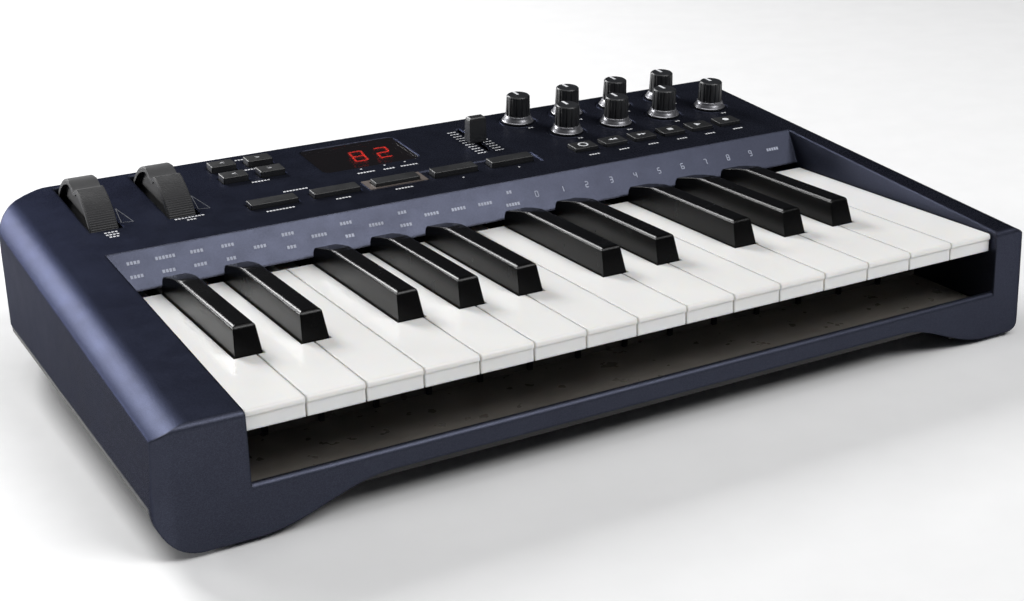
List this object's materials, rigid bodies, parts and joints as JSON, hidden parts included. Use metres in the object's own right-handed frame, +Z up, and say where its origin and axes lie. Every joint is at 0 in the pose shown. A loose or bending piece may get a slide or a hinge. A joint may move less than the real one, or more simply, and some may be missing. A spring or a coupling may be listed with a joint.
{
  "type": "midi keyboard",
  "caption": "Compact MIDI keyboard controller with piano keys, two thumb wheels, rotary knobs, a fader, push buttons and a digit display in a wedge-shaped case.",
  "frame": {"origin": "on the surface the feet stand on, under the middle of the case", "axes": "+X along the keys to the right, +Y from the key fronts to the rear, +Z up"},
  "size_m": [0.4076, 0.248, 0.0887],
  "materials": {
    "blue_paint": "satin",
    "black_plastic": "satin",
    "frame_plastic": "satin",
    "spring_steel": "satin",
    "board_green": "satin",
    "smoked_window": "gloss",
    "rubber": "matte",
    "screw_steel": "satin",
    "wheel_grey": "matte",
    "control_black": "satin",
    "key_white": "gloss",
    "key_black": "gloss",
    "button_grey": "matte"
  },
  "bodies": {
    "case": {"top_shell": "blue_paint", "bottom_shell": "black_plastic", "key_frame": "frame_plastic", "key_springs": "spring_steel", "circuit_boards": "board_green", "display_window": "smoked_window", "rubber_feet": "rubber", "screws": "screw_steel"},
    "white_key_1": {"white_key_1": "key_white"},
    "white_key_2": {"white_key_2": "key_white"},
    "white_key_3": {"white_key_3": "key_white"},
    "white_key_4": {"white_key_4": "key_white"},
    "white_key_5": {"white_key_5": "key_white"},
    "white_key_6": {"white_key_6": "key_white"},
    "white_key_7": {"white_key_7": "key_white"},
    "white_key_8": {"white_key_8": "key_white"},
    "white_key_9": {"white_key_9": "key_white"},
    "white_key_10": {"white_key_10": "key_white"},
    "white_key_11": {"white_key_11": "key_white"},
    "white_key_12": {"white_key_12": "key_white"},
    "white_key_13": {"white_key_13": "key_white"},
    "white_key_14": {"white_key_14": "key_white"},
    "white_key_15": {"white_key_15": "key_white"},
    "black_key_1": {"black_key_1": "key_black"},
    "black_key_2": {"black_key_2": "key_black"},
    "black_key_3": {"black_key_3": "key_black"},
    "black_key_4": {"black_key_4": "key_black"},
    "black_key_5": {"black_key_5": "key_black"},
    "black_key_6": {"black_key_6": "key_black"},
    "black_key_7": {"black_key_7": "key_black"},
    "black_key_8": {"black_key_8": "key_black"},
    "black_key_9": {"black_key_9": "key_black"},
    "black_key_10": {"black_key_10": "key_black"},
    "pitch_wheel": {"pitch_wheel": "wheel_grey"},
    "mod_wheel": {"mod_wheel": "wheel_grey"},
    "fader_cap": {"fader_cap": "control_black"},
    "power_switch": {"power_switch": "control_black"},
    "knob_1": {"knob_1": "control_black"},
    "knob_2": {"knob_2": "control_black"},
    "knob_3": {"knob_3": "control_black"},
    "knob_4": {"knob_4": "control_black"},
    "knob_5": {"knob_5": "control_black"},
    "knob_6": {"knob_6": "control_black"},
    "knob_7": {"knob_7": "control_black"},
    "knob_8": {"knob_8": "control_black"},
    "small_button_1": {"small_button_1": "button_grey"},
    "small_button_2": {"small_button_2": "button_grey"},
    "small_button_3": {"small_button_3": "button_grey"},
    "small_button_4": {"small_button_4": "button_grey"},
    "wide_button_1": {"wide_button_1": "button_grey"},
    "wide_button_2": {"wide_button_2": "button_grey"},
    "wide_button_3": {"wide_button_3": "button_grey"},
    "wide_button_4": {"wide_button_4": "button_grey"},
    "wide_button_5": {"wide_button_5": "button_grey"},
    "transport_button_1": {"transport_button_1": "button_grey"},
    "transport_button_2": {"transport_button_2": "button_grey"},
    "transport_button_3": {"transport_button_3": "button_grey"},
    "transport_button_4": {"transport_button_4": "button_grey"},
    "transport_button_5": {"transport_button_5": "button_grey"},
    "transport_button_6": {"transport_button_6": "button_grey"}
  },
  "joints": [
    {"name": "white_key_1_press", "type": "hinge", "parent": "case", "child": "white_key_1", "pos_m": [0, 0.044, 0.042], "axis": [1, 0, 0], "range_deg": [0, 3.5], "stiffness_Nm_per_rad": 0.2, "springref_deg": -28.65},
    {"name": "white_key_2_press", "type": "hinge", "parent": "case", "child": "white_key_2", "pos_m": [0, 0.044, 0.042], "axis": [1, 0, 0], "range_deg": [0, 3.5], "stiffness_Nm_per_rad": 0.2, "springref_deg": -28.65},
    {"name": "white_key_3_press", "type": "hinge", "parent": "case", "child": "white_key_3", "pos_m": [0, 0.044, 0.042], "axis": [1, 0, 0], "range_deg": [0, 3.5], "stiffness_Nm_per_rad": 0.2, "springref_deg": -28.65},
    {"name": "white_key_4_press", "type": "hinge", "parent": "case", "child": "white_key_4", "pos_m": [0, 0.044, 0.042], "axis": [1, 0, 0], "range_deg": [0, 3.5], "stiffness_Nm_per_rad": 0.2, "springref_deg": -28.65},
    {"name": "white_key_5_press", "type": "hinge", "parent": "case", "child": "white_key_5", "pos_m": [0, 0.044, 0.042], "axis": [1, 0, 0], "range_deg": [0, 3.5], "stiffness_Nm_per_rad": 0.2, "springref_deg": -28.65},
    {"name": "white_key_6_press", "type": "hinge", "parent": "case", "child": "white_key_6", "pos_m": [0, 0.044, 0.042], "axis": [1, 0, 0], "range_deg": [0, 3.5], "stiffness_Nm_per_rad": 0.2, "springref_deg": -28.65},
    {"name": "white_key_7_press", "type": "hinge", "parent": "case", "child": "white_key_7", "pos_m": [0, 0.044, 0.042], "axis": [1, 0, 0], "range_deg": [0, 3.5], "stiffness_Nm_per_rad": 0.2, "springref_deg": -28.65},
    {"name": "white_key_8_press", "type": "hinge", "parent": "case", "child": "white_key_8", "pos_m": [0, 0.044, 0.042], "axis": [1, 0, 0], "range_deg": [0, 3.5], "stiffness_Nm_per_rad": 0.2, "springref_deg": -28.65},
    {"name": "white_key_9_press", "type": "hinge", "parent": "case", "child": "white_key_9", "pos_m": [0, 0.044, 0.042], "axis": [1, 0, 0], "range_deg": [0, 3.5], "stiffness_Nm_per_rad": 0.2, "springref_deg": -28.65},
    {"name": "white_key_10_press", "type": "hinge", "parent": "case", "child": "white_key_10", "pos_m": [0, 0.044, 0.042], "axis": [1, 0, 0], "range_deg": [0, 3.5], "stiffness_Nm_per_rad": 0.2, "springref_deg": -28.65},
    {"name": "white_key_11_press", "type": "hinge", "parent": "case", "child": "white_key_11", "pos_m": [0, 0.044, 0.042], "axis": [1, 0, 0], "range_deg": [0, 3.5], "stiffness_Nm_per_rad": 0.2, "springref_deg": -28.65},
    {"name": "white_key_12_press", "type": "hinge", "parent": "case", "child": "white_key_12", "pos_m": [0, 0.044, 0.042], "axis": [1, 0, 0], "range_deg": [0, 3.5], "stiffness_Nm_per_rad": 0.2, "springref_deg": -28.65},
    {"name": "white_key_13_press", "type": "hinge", "parent": "case", "child": "white_key_13", "pos_m": [0, 0.044, 0.042], "axis": [1, 0, 0], "range_deg": [0, 3.5], "stiffness_Nm_per_rad": 0.2, "springref_deg": -28.65},
    {"name": "white_key_14_press", "type": "hinge", "parent": "case", "child": "white_key_14", "pos_m": [0, 0.044, 0.042], "axis": [1, 0, 0], "range_deg": [0, 3.5], "stiffness_Nm_per_rad": 0.2, "springref_deg": -28.65},
    {"name": "white_key_15_press", "type": "hinge", "parent": "case", "child": "white_key_15", "pos_m": [0, 0.044, 0.042], "axis": [1, 0, 0], "range_deg": [0, 3.5], "stiffness_Nm_per_rad": 0.2, "springref_deg": -28.65},
    {"name": "black_key_1_press", "type": "hinge", "parent": "case", "child": "black_key_1", "pos_m": [0, 0.044, 0.042], "axis": [1, 0, 0], "range_deg": [0, 3.5], "stiffness_Nm_per_rad": 0.2, "springref_deg": -28.65},
    {"name": "black_key_2_press", "type": "hinge", "parent": "case", "child": "black_key_2", "pos_m": [0, 0.044, 0.042], "axis": [1, 0, 0], "range_deg": [0, 3.5], "stiffness_Nm_per_rad": 0.2, "springref_deg": -28.65},
    {"name": "black_key_3_press", "type": "hinge", "parent": "case", "child": "black_key_3", "pos_m": [0, 0.044, 0.042], "axis": [1, 0, 0], "range_deg": [0, 3.5], "stiffness_Nm_per_rad": 0.2, "springref_deg": -28.65},
    {"name": "black_key_4_press", "type": "hinge", "parent": "case", "child": "black_key_4", "pos_m": [0, 0.044, 0.042], "axis": [1, 0, 0], "range_deg": [0, 3.5], "stiffness_Nm_per_rad": 0.2, "springref_deg": -28.65},
    {"name": "black_key_5_press", "type": "hinge", "parent": "case", "child": "black_key_5", "pos_m": [0, 0.044, 0.042], "axis": [1, 0, 0], "range_deg": [0, 3.5], "stiffness_Nm_per_rad": 0.2, "springref_deg": -28.65},
    {"name": "black_key_6_press", "type": "hinge", "parent": "case", "child": "black_key_6", "pos_m": [0, 0.044, 0.042], "axis": [1, 0, 0], "range_deg": [0, 3.5], "stiffness_Nm_per_rad": 0.2, "springref_deg": -28.65},
    {"name": "black_key_7_press", "type": "hinge", "parent": "case", "child": "black_key_7", "pos_m": [0, 0.044, 0.042], "axis": [1, 0, 0], "range_deg": [0, 3.5], "stiffness_Nm_per_rad": 0.2, "springref_deg": -28.65},
    {"name": "black_key_8_press", "type": "hinge", "parent": "case", "child": "black_key_8", "pos_m": [0, 0.044, 0.042], "axis": [1, 0, 0], "range_deg": [0, 3.5], "stiffness_Nm_per_rad": 0.2, "springref_deg": -28.65},
    {"name": "black_key_9_press", "type": "hinge", "parent": "case", "child": "black_key_9", "pos_m": [0, 0.044, 0.042], "axis": [1, 0, 0], "range_deg": [0, 3.5], "stiffness_Nm_per_rad": 0.2, "springref_deg": -28.65},
    {"name": "black_key_10_press", "type": "hinge", "parent": "case", "child": "black_key_10", "pos_m": [0, 0.044, 0.042], "axis": [1, 0, 0], "range_deg": [0, 3.5], "stiffness_Nm_per_rad": 0.2, "springref_deg": -28.65},
    {"name": "pitch_wheel_turn", "type": "hinge", "parent": "case", "child": "pitch_wheel", "pos_m": [-0.16225, 0.0865, 0.05425], "axis": [1, 0, 0], "range_deg": [-30, 30], "stiffness_Nm_per_rad": 0.06},
    {"name": "mod_wheel_turn", "type": "hinge", "parent": "case", "child": "mod_wheel", "pos_m": [-0.12695, 0.0865, 0.05425], "axis": [1, 0, 0], "range_deg": [-30, 30]},
    {"name": "fader_slide", "type": "slide", "parent": "case", "child": "fader_cap", "axis": [0, 0.9952, 0.0981], "range_m": [-0.012, 0.0175]},
    {"name": "power_switch_slide", "type": "slide", "parent": "case", "child": "power_switch", "axis": [1, 0, 0], "range_m": [0, 0.004]},
    {"name": "knob_1_turn", "type": "hinge", "parent": "case", "child": "knob_1", "pos_m": [0.06925, 0.1027, 0.07365], "axis": [0, -0.0981, 0.9952], "range_deg": [-140, 140]},
    {"name": "knob_2_turn", "type": "hinge", "parent": "case", "child": "knob_2", "pos_m": [0.09895, 0.1027, 0.07365], "axis": [0, -0.0981, 0.9952], "range_deg": [-140, 140]},
    {"name": "knob_3_turn", "type": "hinge", "parent": "case", "child": "knob_3", "pos_m": [0.12865, 0.1027, 0.07365], "axis": [0, -0.0981, 0.9952], "range_deg": [-140, 140]},
    {"name": "knob_4_turn", "type": "hinge", "parent": "case", "child": "knob_4", "pos_m": [0.15835, 0.1027, 0.07365], "axis": [0, -0.0981, 0.9952], "range_deg": [-140, 140]},
    {"name": "knob_5_turn", "type": "hinge", "parent": "case", "child": "knob_5", "pos_m": [0.08415, 0.078, 0.07122], "axis": [0, -0.0981, 0.9952], "range_deg": [-140, 140]},
    {"name": "knob_6_turn", "type": "hinge", "parent": "case", "child": "knob_6", "pos_m": [0.11385, 0.078, 0.07122], "axis": [0, -0.0981, 0.9952], "range_deg": [-140, 140]},
    {"name": "knob_7_turn", "type": "hinge", "parent": "case", "child": "knob_7", "pos_m": [0.14355, 0.078, 0.07122], "axis": [0, -0.0981, 0.9952], "range_deg": [-140, 140]},
    {"name": "knob_8_turn", "type": "hinge", "parent": "case", "child": "knob_8", "pos_m": [0.17325, 0.078, 0.07122], "axis": [0, -0.0981, 0.9952], "range_deg": [-140, 140]},
    {"name": "small_button_1_press", "type": "slide", "parent": "case", "child": "small_button_1", "axis": [0, 0.0981, -0.9952], "range_m": [0, 0.001], "stiffness_N_per_m": 300, "springref_m": -0.002},
    {"name": "small_button_2_press", "type": "slide", "parent": "case", "child": "small_button_2", "axis": [0, 0.0981, -0.9952], "range_m": [0, 0.001], "stiffness_N_per_m": 300, "springref_m": -0.002},
    {"name": "small_button_3_press", "type": "slide", "parent": "case", "child": "small_button_3", "axis": [0, 0.0981, -0.9952], "range_m": [0, 0.001], "stiffness_N_per_m": 300, "springref_m": -0.002},
    {"name": "small_button_4_press", "type": "slide", "parent": "case", "child": "small_button_4", "axis": [0, 0.0981, -0.9952], "range_m": [0, 0.001], "stiffness_N_per_m": 300, "springref_m": -0.002},
    {"name": "wide_button_1_press", "type": "slide", "parent": "case", "child": "wide_button_1", "axis": [0, 0.0981, -0.9952], "range_m": [0, 0.001], "stiffness_N_per_m": 300, "springref_m": -0.002},
    {"name": "wide_button_2_press", "type": "slide", "parent": "case", "child": "wide_button_2", "axis": [0, 0.0981, -0.9952], "range_m": [0, 0.001], "stiffness_N_per_m": 300, "springref_m": -0.002},
    {"name": "wide_button_3_press", "type": "slide", "parent": "case", "child": "wide_button_3", "axis": [0, 0.0981, -0.9952], "range_m": [0, 0.001], "stiffness_N_per_m": 300, "springref_m": -0.002},
    {"name": "wide_button_4_press", "type": "slide", "parent": "case", "child": "wide_button_4", "axis": [0, 0.0981, -0.9952], "range_m": [0, 0.001], "stiffness_N_per_m": 300, "springref_m": -0.002},
    {"name": "wide_button_5_press", "type": "slide", "parent": "case", "child": "wide_button_5", "axis": [0, 0.0981, -0.9952], "range_m": [0, 0.001], "stiffness_N_per_m": 300, "springref_m": -0.002},
    {"name": "transport_button_1_press", "type": "slide", "parent": "case", "child": "transport_button_1", "axis": [0, 0.0981, -0.9952], "range_m": [0, 0.001], "stiffness_N_per_m": 300, "springref_m": -0.002},
    {"name": "transport_button_2_press", "type": "slide", "parent": "case", "child": "transport_button_2", "axis": [0, 0.0981, -0.9952], "range_m": [0, 0.001], "stiffness_N_per_m": 300, "springref_m": -0.002},
    {"name": "transport_button_3_press", "type": "slide", "parent": "case", "child": "transport_button_3", "axis": [0, 0.0981, -0.9952], "range_m": [0, 0.001], "stiffness_N_per_m": 300, "springref_m": -0.002},
    {"name": "transport_button_4_press", "type": "slide", "parent": "case", "child": "transport_button_4", "axis": [0, 0.0981, -0.9952], "range_m": [0, 0.001], "stiffness_N_per_m": 300, "springref_m": -0.002},
    {"name": "transport_button_5_press", "type": "slide", "parent": "case", "child": "transport_button_5", "axis": [0, 0.0981, -0.9952], "range_m": [0, 0.001], "stiffness_N_per_m": 300, "springref_m": -0.002},
    {"name": "transport_button_6_press", "type": "slide", "parent": "case", "child": "transport_button_6", "axis": [0, 0.0981, -0.9952], "range_m": [0, 0.001], "stiffness_N_per_m": 300, "springref_m": -0.002}
  ]
}
